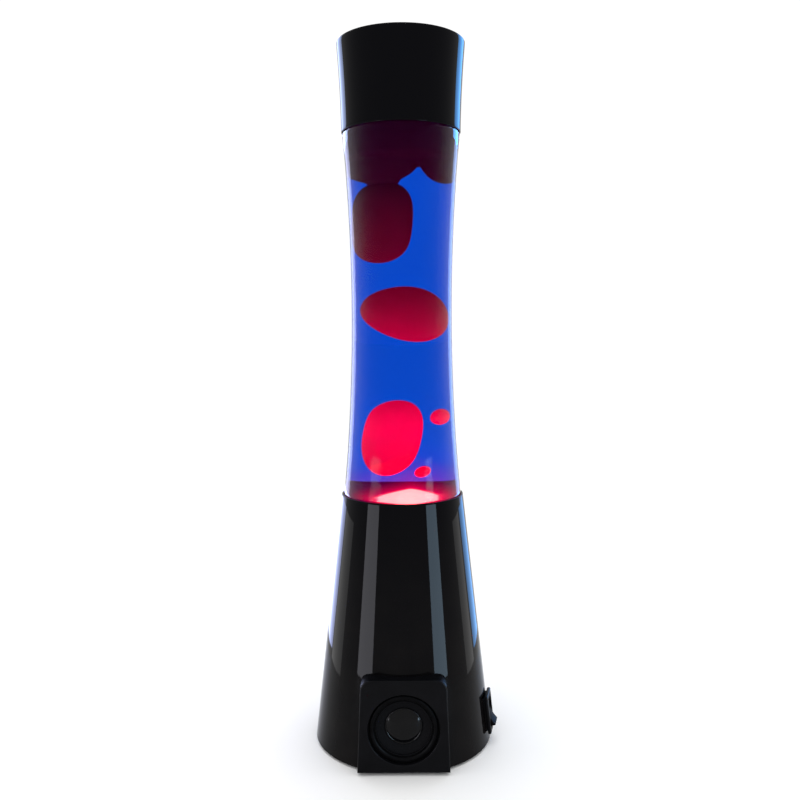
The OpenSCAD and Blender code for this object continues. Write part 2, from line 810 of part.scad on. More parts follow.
module crown_cap() {
    top = neck_top_z + 1.3;
    t = 0.35;
    color("silver") rotate_extrude() polygon([
        [0, top],
        [12.4, top],
        [14, top - 1.5],
        [15.4, top - 6.2],
        [15.4 - t, top - 6.2],
        [14 - t, top - 1.6],
        [12.7, top - 1.3 + 0.9],
        [0, top - 1.3 + 0.9]
    ]);
}

module cap_shell() {
    steps = 8;
    edge = 0.9;
    side = [for (i = [0:steps]) let (u = i / steps) [cap_r(u), cap_rim_z + (cap_h - edge) * u]];
    color(gloss_black) rotate_extrude() polygon(concat(
        side,
        [for (a = [30:30:90]) [cap_top_r - edge + edge * cos(a), lamp_h - edge + edge * sin(a)]],
        [[0, lamp_h], [0, lamp_h - cap_wall]],
        [for (i = [steps:-1:0]) let (p = side[i])
            [p[0] - cap_wall, min(p[1], lamp_h - cap_wall)]]
    ));
}

base_shell();
bottle_seat();
bottom_plate();
bottom_screws();
rubber_feet();
speaker_box();
speaker_box_screws();
speaker_basket();
speaker_screws();
speaker_magnet();
speaker_spider();
speaker_surround();
speaker_cone();
dust_cap();
voice_coil();
lampholder_bracket();
bracket_screws();
lampholder();
lampholder_nut();
bulb_cap();
bulb_glass();
mains_board();
mains_board_parts();
amplifier_board();
amplifier_board_parts();
board_screws();
switch_housing();
switch_terminals();
rocker();
cord_gland();
mains_leads();
speaker_leads();
bottle_glass();
liquid();
wax_pool();
wax_blobs();
wax_top();
heater_coil();
crown_liner();
crown_cap();
cap_shell();
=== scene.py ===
import math

import bmesh
import bpy
from mathutils import Matrix, Vector


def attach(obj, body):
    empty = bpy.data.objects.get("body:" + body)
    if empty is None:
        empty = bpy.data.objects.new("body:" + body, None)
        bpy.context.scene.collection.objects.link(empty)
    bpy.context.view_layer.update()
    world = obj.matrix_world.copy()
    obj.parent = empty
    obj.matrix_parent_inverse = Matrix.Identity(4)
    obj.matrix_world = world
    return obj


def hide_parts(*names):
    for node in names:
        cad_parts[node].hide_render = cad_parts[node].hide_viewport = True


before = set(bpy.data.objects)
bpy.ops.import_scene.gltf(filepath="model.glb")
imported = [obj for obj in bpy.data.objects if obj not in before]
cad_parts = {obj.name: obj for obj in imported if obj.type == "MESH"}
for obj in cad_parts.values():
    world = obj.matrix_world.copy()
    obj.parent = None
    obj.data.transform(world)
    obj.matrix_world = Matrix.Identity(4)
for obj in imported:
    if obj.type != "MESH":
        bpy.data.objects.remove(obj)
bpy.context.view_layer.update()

# Camera: half a metre in front of the lamp and a little above its middle. It looks down
# slightly and leans a touch to one side, as a camera held in the hand does.
mm = 0.001
eye = Vector((-1.2, -499.5, 244.7)) * mm
pitch = math.radians(-5.13)
roll = math.radians(-0.26)
camera_data = bpy.data.cameras.new("camera")
camera_data.lens = 38.9
camera_data.sensor_width = 36
camera = bpy.data.objects.new("camera", camera_data)
camera.matrix_world = (
    Matrix.Translation(eye)
    @ Matrix.Rotation(math.radians(90) + pitch, 4, "X")
    @ Matrix.Rotation(roll, 4, "Z")
)
bpy.context.scene.collection.objects.link(camera)
bpy.context.scene.camera = camera
bpy.context.scene.view_settings.view_transform = "Standard"


# Floor: a matt white board, so wide that its edge lies far behind the lamp. Its paint has
# a faint mottle and a barely warm tint.
def linear(code):
    """The linear colour of an sRGB hex value."""
    levels = [int(code[i:i + 2], 16) / 255 for i in (1, 3, 5)]
    return [v / 12.92 if v <= 0.04045 else ((v + 0.055) / 1.055) ** 2.4 for v in levels] + [1]


def add(material, kind, inputs, **settings):
    """Adds a node. A setting is one of its attributes; an input is a value or a socket to link."""
    node = material.node_tree.nodes.new(kind)
    for name, value in settings.items():
        setattr(node, name, value)
    for name, value in inputs.items():
        if isinstance(value, bpy.types.NodeSocket):
            material.node_tree.links.new(value, node.inputs[name])
        else:
            node.inputs[name].default_value = value
    return node


def begin(name):
    """A new material with no nodes, and its object coordinates."""
    material = bpy.data.materials.new(name)
    material.use_nodes = True
    material.node_tree.nodes.clear()
    return material, add(material, "ShaderNodeTexCoord", {}).outputs["Object"]


def finish(material, inputs):
    """Gives a material its surface, with these inputs of the Principled shader."""
    shader = add(material, "ShaderNodeBsdfPrincipled", inputs)
    add(material, "ShaderNodeOutputMaterial", {"Surface": shader.outputs["BSDF"]})
    return material


def noise(material, place, size, detail=3, roughness=0.5):
    """Noise whose lumps are about size metres across."""
    return add(material, "ShaderNodeTexNoise", {
        "Vector": place, "Scale": 1 / size, "Detail": detail, "Roughness": roughness}).outputs["Fac"]


def graded(material, factor, stops):
    """The colour at factor, on a ramp through (place, colour) stops."""
    ramp = add(material, "ShaderNodeValToRGB", {"Fac": factor})
    for stop, colour in stops[1:-1]:
        ramp.color_ramp.elements.new(stop)
    for element, (stop, colour) in zip(ramp.color_ramp.elements, stops):
        element.position = stop
        element.color = colour
    return ramp.outputs["Color"]


def between(material, factor, low, high, start=0.0, end=1.0):
    """A colour that goes from low to high as factor goes from start to end."""
    return graded(material, factor, [(start, low), (end, high)])


def level(material, factor, low, high, start=0.0, end=1.0):
    """A number that goes from low to high as factor goes from start to end."""
    return add(material, "ShaderNodeMapRange", {
        "Value": factor, "From Min": start, "From Max": end, "To Min": low, "To Max": high,
    }).outputs["Result"]


def along(material, place, axis):
    """One coordinate of a place, by the name of its axis."""
    return add(material, "ShaderNodeSeparateXYZ", {"Vector": place}).outputs[axis]


def maths(material, operation, *values):
    """The result of an operation on values or sockets."""
    return add(material, "ShaderNodeMath", dict(enumerate(values)), operation=operation).outputs[0]


def bump(material, height, depth, strength=1.0):
    """A bumped normal, for a height of 0 to 1 that stands for depth metres."""
    return add(material, "ShaderNodeBump", {
        "Height": height, "Distance": depth, "Strength": strength}).outputs["Normal"]


def white_board():
    material, place = begin("white_painted_board")
    mottle = noise(material, place, 40 * mm)
    return finish(material, {
        "Base Color": between(material, mottle, linear("#F9F9F8"), linear("#FCFCFC")),
        "Roughness": 0.75})


def mesh_object(bm, name, material):
    """Turns a bmesh into an object, and frees the bmesh."""
    mesh = bpy.data.meshes.new(name)
    bm.to_mesh(mesh)
    bm.free()
    mesh.materials.append(material)
    obj = bpy.data.objects.new(name, mesh)
    bpy.context.scene.collection.objects.link(obj)
    return obj


floor_r = 6.0
bm = bmesh.new()
bmesh.ops.create_circle(bm, cap_ends=True, segments=96, radius=floor_r)
mesh_object(bm, "floor", white_board())


# Studio light: an even white tent, a soft box overhead, two narrow panels in front whose
# reflections run down the cone, and cool panels behind each side for the bright edges.
def panel(name, azimuth, reach, low, high, width, colour, radiance):
    """A panel of light that stands at an angle from the camera's side, turned to the axis."""
    light = bpy.data.lights.new(name, "AREA")
    light.shape = "RECTANGLE"
    light.size = width
    light.size_y = high - low
    light.color = linear(colour)[:3]
    light.energy = radiance * math.pi * light.size * light.size_y
    lamp = bpy.data.objects.new(name, light)
    turn = math.radians(azimuth)
    lamp.location = (reach * math.sin(turn), -reach * math.cos(turn), (low + high) / 2)
    lamp.rotation_euler = (math.radians(90), 0, turn)
    lamp.visible_camera = lamp.visible_transmission = lamp.visible_diffuse = False
    bpy.context.scene.collection.objects.link(lamp)
    return lamp


world = bpy.data.worlds.new("white_tent")
world.use_nodes = True
world.node_tree.nodes["Background"].inputs["Color"].default_value = (1, 1, 1, 1)
world.node_tree.nodes["Background"].inputs["Strength"].default_value = 1.06
bpy.context.scene.world = world
panel("front_left", -51.5, 0.27, 0.002, 0.165, 0.104, "#F4F4FF", 15.0)
panel("front_right", 50, 0.27, 0.002, 0.165, 0.090, "#C4E4FF", 23.0)
panel("side_left", -103, 0.20, 0.002, 0.118, 0.092, "#FFFFFF", 2.0)
panel("side_right", 102, 0.20, 0.002, 0.118, 0.070, "#FFFFFF", 2.0)
panel("rear_left_low", -136, 0.20, 0.006, 0.118, 0.130, "#BCC8FF", 9.0)
panel("rear_left_middle", -132, 0.20, 0.118, 0.37, 0.080, "#C4CCFF", 3.8)
panel("rear_left_high", -134, 0.20, 0.37, 0.50, 0.100, "#B4C8FF", 8.0)
panel("rear_right_low", 129, 0.20, 0.008, 0.118, 0.090, "#5CACFF", 6.5)
panel("rear_right_middle", 134, 0.20, 0.118, 0.37, 0.076, "#8CB4FF", 3.4)
panel("rear_right_high", 128, 0.20, 0.37, 0.50, 0.092, "#4FA8FF", 12.0)
overhead = panel("overhead", 0, 0.0, 1.5, 2.5, 1.0, "#FFFFFF", 1.6)
overhead.rotation_euler = (0, 0, 0)
overhead.visible_diffuse = True


# Base shell: one cone of mild steel, spun and lacquered gloss black. Its rim is rolled over,
# and it is pierced for the speaker, the switch, the cord gland and the screws.
def spun(outline, steps, closed=True):
    """A solid of revolution about Z from (radius, height) points in millimetres."""
    bm = bmesh.new()
    verts = [bm.verts.new((r * mm, 0, z * mm)) for r, z in outline]
    pairs = list(zip(verts, verts[1:])) + ([(verts[-1], verts[0])] if closed else [])
    edges = [bm.edges.new(pair) for pair in pairs]
    bmesh.ops.spin(bm, geom=verts + edges, cent=(0, 0, 0), axis=(0, 0, 1),
                   angle=math.tau, steps=steps, use_merge=True)
    bmesh.ops.remove_doubles(bm, verts=bm.verts, dist=0.001 * mm)
    bmesh.ops.recalc_face_normals(bm, faces=bm.faces)
    return bm


def arc(r, z, radius, start, end, steps):
    """Points of a round stretch of an outline about (r, z), by angle in degrees from +R."""
    angles = [math.radians(start + (end - start) * i / steps) for i in range(steps + 1)]
    return [(r + radius * math.cos(a), z + radius * math.sin(a)) for a in angles]


def piece(bm, name, material, body, slot, *nodes, smooth=35):
    """A finished piece: its faces are smooth up to an angle, and it stands for its CAD nodes."""
    for face in bm.faces:
        face.smooth = True
    obj = mesh_object(bm, name, material)
    obj.data.set_sharp_from_angle(angle=math.radians(smooth))
    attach(obj, body)
    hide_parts(*nodes)
    return obj


def carved(bm, cutters, operation="DIFFERENCE"):
    """The bmesh with each cutter taken out of it, or joined to it. All of them are freed."""
    plain = bpy.data.materials.get("scratch") or bpy.data.materials.new("scratch")
    obj = mesh_object(bm, "scratch", plain)
    tools = [mesh_object(cutter, "scratch_tool", plain) for cutter in cutters]
    for tool in tools:
        modifier = obj.modifiers.new("carve", "BOOLEAN")
        modifier.object = tool
        modifier.operation = operation
        modifier.solver = "EXACT"
    result = bmesh.new()
    result.from_object(obj, bpy.context.evaluated_depsgraph_get())
    for scratch in [obj] + tools:
        mesh = scratch.data
        bpy.data.objects.remove(scratch)
        bpy.data.meshes.remove(mesh)
    bmesh.ops.remove_doubles(result, verts=result.verts, dist=0.002 * mm)
    for face in result.faces:
        face.material_index = 0
    return result


def gathered(parts):
    """Several bmeshes as one. They are freed."""
    whole = bmesh.new()
    for part in parts:
        mesh = bpy.data.meshes.new("part")
        part.to_mesh(mesh)
        part.free()
        whole.from_mesh(mesh)
        bpy.data.meshes.remove(mesh)
    return whole


def block(size, place, turn=Matrix.Identity(4)):
    """A box of a size in millimetres, about a place in millimetres, then turned."""
    bm = bmesh.new()
    shape = Matrix.Translation(Vector(place) * mm) @ Matrix.Diagonal(Vector(size) * mm).to_4x4()
    bmesh.ops.create_cube(bm, size=1, matrix=turn @ shape)
    return bm


def rod(radius, length, turn, segments=64, tip=None):
    """A cylinder along the turned Z axis, centred on the turned origin, in millimetres."""
    bm = bmesh.new()
    bmesh.ops.create_cone(bm, cap_ends=True, segments=segments, radius1=radius * mm,
                          radius2=(radius if tip is None else tip) * mm, depth=length * mm, matrix=turn)
    return bm


def gloss_lacquer():
    # Stoved black lacquer, sprayed: a deep wet gloss with a trace of orange peel, and a painted
    # brownish reflection of the room in patches that grow towards the flared foot; where it lies,
    # the lacquer is also a little rougher.
    material, place = begin("stoved_black_gloss_lacquer")
    peel = noise(material, place, 2.2 * mm, detail=2)
    low_down = level(material, along(material, place, "Z"), 0, 1, 150 * mm, 0)
    patches = noise(material, place, 14 * mm, detail=5)
    # Painted reflection: brownish patches of the room mirrored in the lacquer, more towards the foot.
    painted_reflection = maths(material, "MULTIPLY", low_down, patches)
    return finish(material, {
        "Base Color": between(material, painted_reflection, linear("#030306"), linear("#161413")),
        "Roughness": level(material, painted_reflection, 0.015, 0.09),
        "IOR": 1.125,
        "Normal": bump(material, peel, 0.012 * mm, 0.25)})


lacquer = gloss_lacquer()
foot_r, foot_z = 51.8, 1.2
rim_r, rim_z = 35.3, 145.8
wall = 0.9
roll_r = 0.55
slope = (foot_r - rim_r) / (rim_z - foot_z)
lean = math.degrees(math.atan(slope))


def cone_r(z):
    """Radius of the outside of the cone at a height in millimetres."""
    return foot_r - slope * (z - foot_z)


def on_wall(azimuth, z):
    """The place on the cone at an azimuth and height: Z points out of the wall, -X up along it."""
    return (
        Matrix.Rotation(math.radians(azimuth), 4, "Z")
        @ Matrix.Translation(Vector((cone_r(z), 0, z)) * mm)
        @ Matrix.Rotation(math.radians(90 - lean), 4, "Y")
    )


speaker_z = 25.8
switch_azimuth, switch_z = -12, 17.6
gland_azimuth, gland_z = 30, 14
lug_angles = (90, 210, 330)
rings = 18
levels = [foot_z + 0.35 + (rim_z - 2 * roll_r - foot_z) * i / rings for i in range(rings + 1)]
levels = levels[:1] + [foot_z + 0.8] + levels[1:-1] + [levels[-1] - 0.5, levels[-1]]
outline = [(foot_r - wall + 0.3, foot_z), (foot_r - 0.25, foot_z)]
outline += [(cone_r(z), z) for z in levels]
outline += arc(rim_r - roll_r + 0.03, rim_z - roll_r, roll_r, 0, 180, 8)
outline += [(cone_r(z) - wall, z) for z in reversed(levels)]
bm = spun(outline, 200)
facing = Matrix.Rotation(math.radians(90), 4, "X")
cutters = [
    rod(19.9, 60, Matrix.Translation((0, -40 * mm, speaker_z * mm)) @ facing, 96),
    block((30.8, 30, 22.8), (0, -45, 0.6)),
    block((19.4, 13.4, 12), (0, 0, 0), on_wall(switch_azimuth, switch_z)),
    block((9.6, 9.6, 12), (0, 0, 0), on_wall(gland_azimuth, gland_z)),
]
parts = [carved(bm, cutters)]
for angle in lug_angles:
    turn = Matrix.Rotation(math.radians(angle), 4, "Z")
    parts.append(carved(block((8.6, 8, 1.5), (46.4, 0, 5.25), turn),
                        [rod(1.3, 8, turn @ Matrix.Translation((45.5 * mm, 0, 5 * mm)), 24)]))
piece(gathered(parts), "base_cone", lacquer, "base", "gloss_black_paint", "base_shell")


# Speaker box: one moulding in satin black ABS that stands proud of the cone at the front. Its
# back is scribed to the cone, its front edges are rounded, and four screws hold it from inside.
def satin_abs():
    # Moulded ABS from a spark-eroded tool: near black, with a fine even grain that breaks up the
    # sheen. The real grain is 0.1 mm; it is drawn at 0.4 mm so that it shows.
    material, place = begin("satin_black_moulded_abs")
    grain = noise(material, place, 0.4 * mm, detail=2)
    handling = noise(material, place, 11 * mm, detail=4)
    return finish(material, {
        "Base Color": between(material, handling, linear("#060608"), linear("#0B0B0E"), 0.3, 0.7),
        "Roughness": level(material, handling, 0.30, 0.44),
        "IOR": 1.13,
        "Normal": bump(material, grain, 0.03 * mm, 0.5)})


def pick(bm, test):
    """The edges whose two ends both pass a test of their place in millimetres."""
    return [e for e in bm.edges if all(test(v.co / mm) for v in e.verts)]


def rounded(bm, edges, radius, segments):
    """Bevels some edges to a radius in millimetres."""
    bmesh.ops.bevel(bm, geom=edges, offset=radius * mm, offset_type="OFFSET", affect="EDGES",
                    segments=segments, profile=0.5, material=-1, clamp_overlap=True)


abs_plastic = satin_abs()
box_face, box_back = 52, 38
box_low, box_top = 1.7, 53.3
foot_w, head_w = 50.6, 46.4
front_t = 2.2
hole_r = 19.6
slot_w, slot_y = 30.2, -47.6


def tapered_box(inset, front, back):
    """A box with the slope of the speaker box's sides, smaller all round by an inset."""
    bm = block((foot_w - 2 * inset, back - front, box_top - box_low - 2 * inset),
               (0, (front + back) / 2, (box_top + box_low) / 2))
    head = [v for v in bm.verts if v.co.z > speaker_z * mm]
    bmesh.ops.scale(bm, verts=head, vec=((head_w - 2 * inset) / (foot_w - 2 * inset), 1, 1))
    return bm


bm = tapered_box(0, -box_face, -box_back)
corners = [e for side in (1, -1) for e in pick(bm, lambda p: p.z > box_top - 1 and p.x * side > 20)]
rounded(bm, corners, 5, 12)
front_loop = [e for e in pick(bm, lambda p: p.y < -box_face + 0.1)
              if any(abs(f.normal.y) < 0.5 for f in e.link_faces)]
rounded(bm, front_loop, 0.9, 5)
cone_core = carved(
    rod(foot_r + 0.05, rim_z - foot_z, Matrix.Translation((0, 0, (foot_z + rim_z) / 2 * mm)), 200,
        tip=rim_r + 0.05),
    [block((slot_w, 30, 10), (0, slot_y - 15, 6.7)), block((slot_w, 10, 3.7), (0, -51.9, 1.75))])
hole = rod(hole_r, 40, Matrix.Translation((0, -50 * mm, speaker_z * mm)) @ facing, 128)
bm = carved(bm, [tapered_box(1.9, -box_face + front_t, -box_back + 1), cone_core, hole])
hole_edge = pick(bm, lambda p: p.y < -box_face + 0.02
                 and abs(math.hypot(p.x, p.z - speaker_z) - hole_r) < 0.05)
rounded(bm, hole_edge, 0.45, 3)
piece(bm, "speaker_box_moulding", abs_plastic, "base", "satin_black_abs", "speaker_box")


# Loudspeaker: a treated paper cone with a turned-up edge inside a butyl rubber surround, closed
# in the middle by a polished dust cap. The surround is clamped between box and steel basket.
def rubber():
    # Butyl rubber, moulded: dull black with a soft sheen and a slightly greyer bloom.
    material, place = begin("butyl_rubber")
    bloom = noise(material, place, 3 * mm, detail=4)
    return finish(material, {
        "Base Color": between(material, bloom, linear("#030304"), linear("#08080A"), 0.35, 0.7),
        "Roughness": level(material, bloom, 0.35, 0.5),
        "IOR": 1.1})


def cone_paper():
    # Pressed paper pulp, dyed black: fibres in all directions and fine rings from the mould.
    material, place = begin("dyed_paper_pulp")
    centred = add(material, "ShaderNodeMapping", {
        "Vector": place, "Location": (0, 0, -speaker_z * mm)}).outputs["Vector"]
    rings = add(material, "ShaderNodeTexWave", {"Vector": centred, "Scale": 1 / (4.4 * mm)},
                wave_type="RINGS", rings_direction="Y").outputs["Fac"]
    fibres = noise(material, place, 0.7 * mm, detail=6, roughness=0.7)
    relief = maths(material, "ADD", rings, fibres)
    return finish(material, {
        "Base Color": between(material, fibres, linear("#060607"), linear("#111114"), 0.3, 0.75),
        "Roughness": 0.72,
        "IOR": 1.1,
        "Normal": bump(material, relief, 0.05 * mm, 0.5)})


def cap_film():
    # Polished polypropylene film, drawn to a dome: black and wet-looking, a little wavy.
    material, place = begin("polished_black_film")
    waves = noise(material, place, 5 * mm, detail=1)
    return finish(material, {
        "Base Color": between(material, waves, linear("#050506"), linear("#0A0A0C")),
        "Roughness": 0.06,
        "IOR": 1.2,
        "Normal": bump(material, waves, 0.1 * mm, 0.2)})


baffle_y = -49.8
on_speaker = (
    Matrix.Translation((0, baffle_y * mm, speaker_z * mm)) @ Matrix.Rotation(math.radians(-90), 4, "X"))
roll_mid, roll_out, lip = 17.45, 1.45, 0.5
skin = 0.45


def on_axis(outline, steps, closed=True):
    """A solid of revolution on the loudspeaker's axis, by radius and depth."""
    bm = spun(outline, steps, closed)
    bmesh.ops.transform(bm, matrix=on_speaker, verts=bm.verts)
    bmesh.ops.recalc_face_normals(bm, faces=bm.faces)
    return bm


roll = arc(roll_mid, lip, roll_out, -180, 0, 16)
under = arc(roll_mid, lip, roll_out - skin, 0, -180, 16)
outline = [(15.4, lip + 0.4), (15.4, lip)] + roll + [(20.2, lip - 0.06), (21.8, lip - 0.06),
                                                   (21.8, lip), (18.6, lip + 0.02)] + under
piece(on_axis(outline, 128), "surround_roll", rubber(), "base", "black_rubber", "speaker_surround")

steps = 12
cone_edge_r, cone_neck_r, cone_front, cone_depth, paper = 15.25, 5.35, 1.32, 4.88, 0.4
cone_line = []
for i in range(steps + 1):
    u = i / steps
    cone_line.append((cone_edge_r + (cone_neck_r - cone_edge_r) * u,
                      cone_front + cone_depth * (0.8 * u + 0.2 * u * u)))
turned_up = [(cone_edge_r, 0.1), (cone_edge_r - 0.3, 0.1), (cone_edge_r - 0.3, cone_front + 0.12)]
outline = turned_up + cone_line[1:] + [(r, z + paper) for r, z in reversed(cone_line)]
piece(on_axis(outline, 128), "paper_cone", cone_paper(), "speaker_cone", "cone_paper", "speaker_cone")

cap_edge_r, cap_rise, cap_rim_depth = 10.1, 2.8, 3.5
ball = (cap_edge_r ** 2 + cap_rise ** 2) / (2 * cap_rise)
spread = math.degrees(math.asin(9.4 / ball))
dome = arc(0, cap_rim_depth - cap_rise + ball, ball, -90, -90 + spread, 16)
bead = arc(9.75, 3.3, 0.42, -150, 45, 8)
inside = [(9.3, 3.5)] + arc(0, cap_rim_depth - cap_rise + ball, ball - 0.3, -90 + spread * 0.96, -90, 12)
piece(on_axis(dome + bead + inside, 96, closed=False), "dust_cap_dome", cap_film(), "speaker_cone",
      "dust_cap_film", "dust_cap")


# Switch: a nylon rocker in an ABS housing that snaps into the cone from outside. The rocker
# has a hollowed face and turns on two pips; its lower end stands out when the lamp is on.
at_switch = on_wall(switch_azimuth, switch_z)
on_pips = Matrix.Translation((0, 0, -1.5 * mm))
bezel = block((22, 15.4, 2), (0, 0, 1.5))
rounded(bezel, bezel.edges[:], 0.7, 4)
body = block((18.8, 12.8, 13.55), (0, 0, -6.225))
rounded(body, pick(body, lambda p: p.z < -12), 0.5, 2)
bm = carved(bezel, [body], "UNION")
bm = carved(bm, [block((18, 11, 4), (0, 0, 2)), block((17, 11, 8), (0, 0, -3)),
                 rod(1.05, 20, on_pips @ facing, 32)])
bmesh.ops.transform(bm, matrix=at_switch, verts=bm.verts)
piece(bm, "switch_bezel", abs_plastic, "base", "satin_black_abs", "switch_housing")


def nylon():
    # Glass-filled nylon, moulded: black and semi-gloss, with faint flow marks.
    material, place = begin("black_moulded_nylon")
    flow = noise(material, place, 4 * mm, detail=3)
    return finish(material, {
        "Base Color": between(material, flow, linear("#050506"), linear("#0B0B0D")),
        "Roughness": level(material, flow, 0.34, 0.46),
        "IOR": 1.06})


half_h, half_w = 7.7, 5.2
end_z, hollow = 4, 2.3
steps = 12
face_line = [(-half_h + 2 * half_h * i / steps) for i in range(steps + 1)]
side = [(x, end_z - hollow + hollow * (x / half_h) ** 2) for x in face_line]
side += [(half_h, -0.5), (4, -4), (-4, -4), (-half_h, -0.5)]
bm = bmesh.new()
flat = bm.faces.new([bm.verts.new((x * mm, -half_w * mm, z * mm)) for x, z in side])
grown = bmesh.ops.extrude_face_region(bm, geom=[flat])["geom"]
bmesh.ops.translate(bm, vec=(0, 2 * half_w * mm, 0),
                    verts=[g for g in grown if isinstance(g, bmesh.types.BMVert)])
bmesh.ops.recalc_face_normals(bm, faces=bm.faces)
rims = [e for e in bm.edges
        if e.calc_face_angle(0) > math.radians(20) and max(v.co.z for v in e.verts) > 0]
rounded(bm, rims, 0.5, 3)
pips = rod(1, 2 * half_w + 1.6, on_pips @ facing, 32)
bm = carved(bm, [pips], "UNION")
rest_tilt = math.radians(-10)
tilt = on_pips @ Matrix.Rotation(rest_tilt, 4, "Y") @ on_pips.inverted()
bmesh.ops.transform(bm, matrix=at_switch @ tilt, verts=bm.verts)
piece(bm, "rocker_key", nylon(), "rocker", "rocker_nylon", "rocker")


# Cord gland: an ABS bush with a square neck that cannot turn in the cone, and a round flange
# with a softened bore for the mains cord.
bore_r, bore_round, flange_r, flange_round = 3.1, 0.8, 7, 0.7
outline = [(bore_r, 0.3), (bore_r, 1.5)] + arc(bore_r + bore_round, 1.5, bore_round, 180, 90, 5)
outline += arc(flange_r - flange_round, 1.6, flange_round, 90, 0, 5) + [(flange_r, 0.3)]
neck = carved(block((9.2, 9.2, 8.45), (0, 0, -3.8)), [rod(bore_r, 30, Matrix.Identity(4), 64)])
bm = gathered([spun(outline, 72), neck])
bmesh.ops.transform(bm, matrix=on_wall(gland_azimuth, gland_z), verts=bm.verts)
piece(bm, "cord_gland_bush", abs_plastic, "base", "satin_black_abs", "cord_gland")


# Feet: four discs of moulded rubber, stuck into the bottom plate. Only their last millimetre
# stands below the cone.
feet_r = 40
discs = []
for angle in (45, 135, 225, 315):
    disc = spun([(0, 0.15), (3.6, 0.15), (3.8, 0)] + arc(4.5, 0.5, 0.5, -90, 0, 4) + [(5, 2), (0, 2)], 48,
                closed=False)
    turn = Matrix.Rotation(math.radians(angle), 4, "Z") @ Matrix.Translation((feet_r * mm, 0, 0))
    bmesh.ops.transform(disc, matrix=turn, verts=disc.verts)
    discs.append(disc)
piece(gathered(discs), "feet", bpy.data.materials["butyl_rubber"], "base", "black_rubber", "rubber_feet")


# Cap: a deep cup pressed from the same steel as the cone and lacquered like it. It flares to
# its top and simply drops over the shoulder of the bottle.
cap_rim_z, cap_rim_r, cap_top_r, lamp_h = 350.7, 33.7, 36, 400
cap_wall, edge_r = 1, 1.1
steps = 24


def cap_r(u):
    """Outside radius of the cap at a share of the height of its side."""
    return cap_rim_r + (cap_top_r - cap_rim_r) * (0.28 * u + 0.72 * u * u)


side_h = lamp_h - edge_r - cap_rim_z
side = [(cap_r(i / steps), cap_rim_z + side_h * i / steps) for i in range(1, steps + 1)]
outline = arc(cap_rim_r - 0.5, cap_rim_z + 0.5, 0.5, -180, 0, 8)
outline += side + arc(cap_top_r - edge_r, lamp_h - edge_r, edge_r, 15, 90, 6)
outline += [(18, lamp_h), (0, lamp_h)]
outline += [(0, lamp_h - cap_wall), (34, lamp_h - cap_wall)]
outline += [(r - cap_wall, min(z, lamp_h - cap_wall)) for r, z in reversed(side)]
outline += [outline[0]]
piece(spun(outline, 200, closed=False), "cap_cup", lacquer, "cap", "gloss_black_paint", "cap_shell")


# Bottle: clear soda glass, blown in a mould. It stands on a thick dished floor, narrows to a
# waist, widens to a ledge under the cap and closes to a short neck.
def soda_glass():
    # Clear glass, fire-polished: a faint blue-green in the thickness and slow ripples from the mould.
    material, place = begin("clear_soda_glass")
    ripple = noise(material, place, 30 * mm, detail=1)
    return finish(material, {
        "Base Color": linear("#F4FAFC"),
        "Transmission Weight": 1.0,
        "Roughness": 0.0,
        "IOR": 1.5,
        "Specular Tint": linear("#303030"),
        "Normal": bump(material, ripple, 0.15 * mm, 0.3)})


waist_r, waist_z, waist_arc_r = 28.8, 252, 1080
glass_wall = 2.4
floor_z, ledge_z = 122, 349.4
neck_r, neck_top = 13.3, 388
shoulder_h = 14
ledge_round = 1.2


def glass_r(z):
    """Outside radius of the glass at a height in millimetres."""
    return waist_r + (z - waist_z) ** 2 / (2 * waist_arc_r)


def glass_side(inset):
    """The long side of the bottle, from just above its foot to the ledge, moved in by an inset."""
    steps = 48
    heights = [rim_z + (ledge_z - rim_z) * i / steps for i in range(steps + 1)]
    return [(glass_r(z) - inset, z) for z in heights]


def shoulder(reach, z, inset):
    """The round shoulder from a reach outside the neck, ending on the neck."""
    turns = [math.radians(8 + 76 * i / 12) for i in range(13)]
    return [(neck_r - inset + reach * math.cos(a), z + shoulder_h * math.sin(a)) for a in turns]


foot_side = glass_r(rim_z)
ledge_r = glass_r(ledge_z)


def hollow(gap):
    """The outline of the bottle's inside, further in by a gap, up to its neck."""
    inset = glass_wall + gap
    low = floor_z + 5 + gap
    return ([(0, low)] + arc(foot_side - inset - 4, low + 4, 4, -90, 0, 8) + glass_side(inset)
            + shoulder(ledge_r - neck_r, ledge_z - 0.2, inset))


outline = [(0, floor_z + 1.6), (14, floor_z + 1.2), (24, floor_z + 0.3)]
outline += arc(foot_side - 6, floor_z + 6, 6, -90, 0, 10) + glass_side(0)
outline += arc(ledge_r - ledge_round, ledge_z, ledge_round, 20, 90, 6)
outline += shoulder(ledge_r - ledge_round - neck_r, ledge_z + ledge_round, 0)
outline += [(neck_r, neck_top - 5)] + arc(neck_r - 0.8, neck_top - 0.8, 0.8, 0, 90, 4)
outline += arc(neck_r - glass_wall + 0.8, neck_top - 0.8, 0.8, 90, 180, 4)
outline += list(reversed(hollow(0)))
piece(spun(outline, 160, closed=False), "blown_bottle", soda_glass(), "bottle", "clear_glass",
      "bottle_glass")


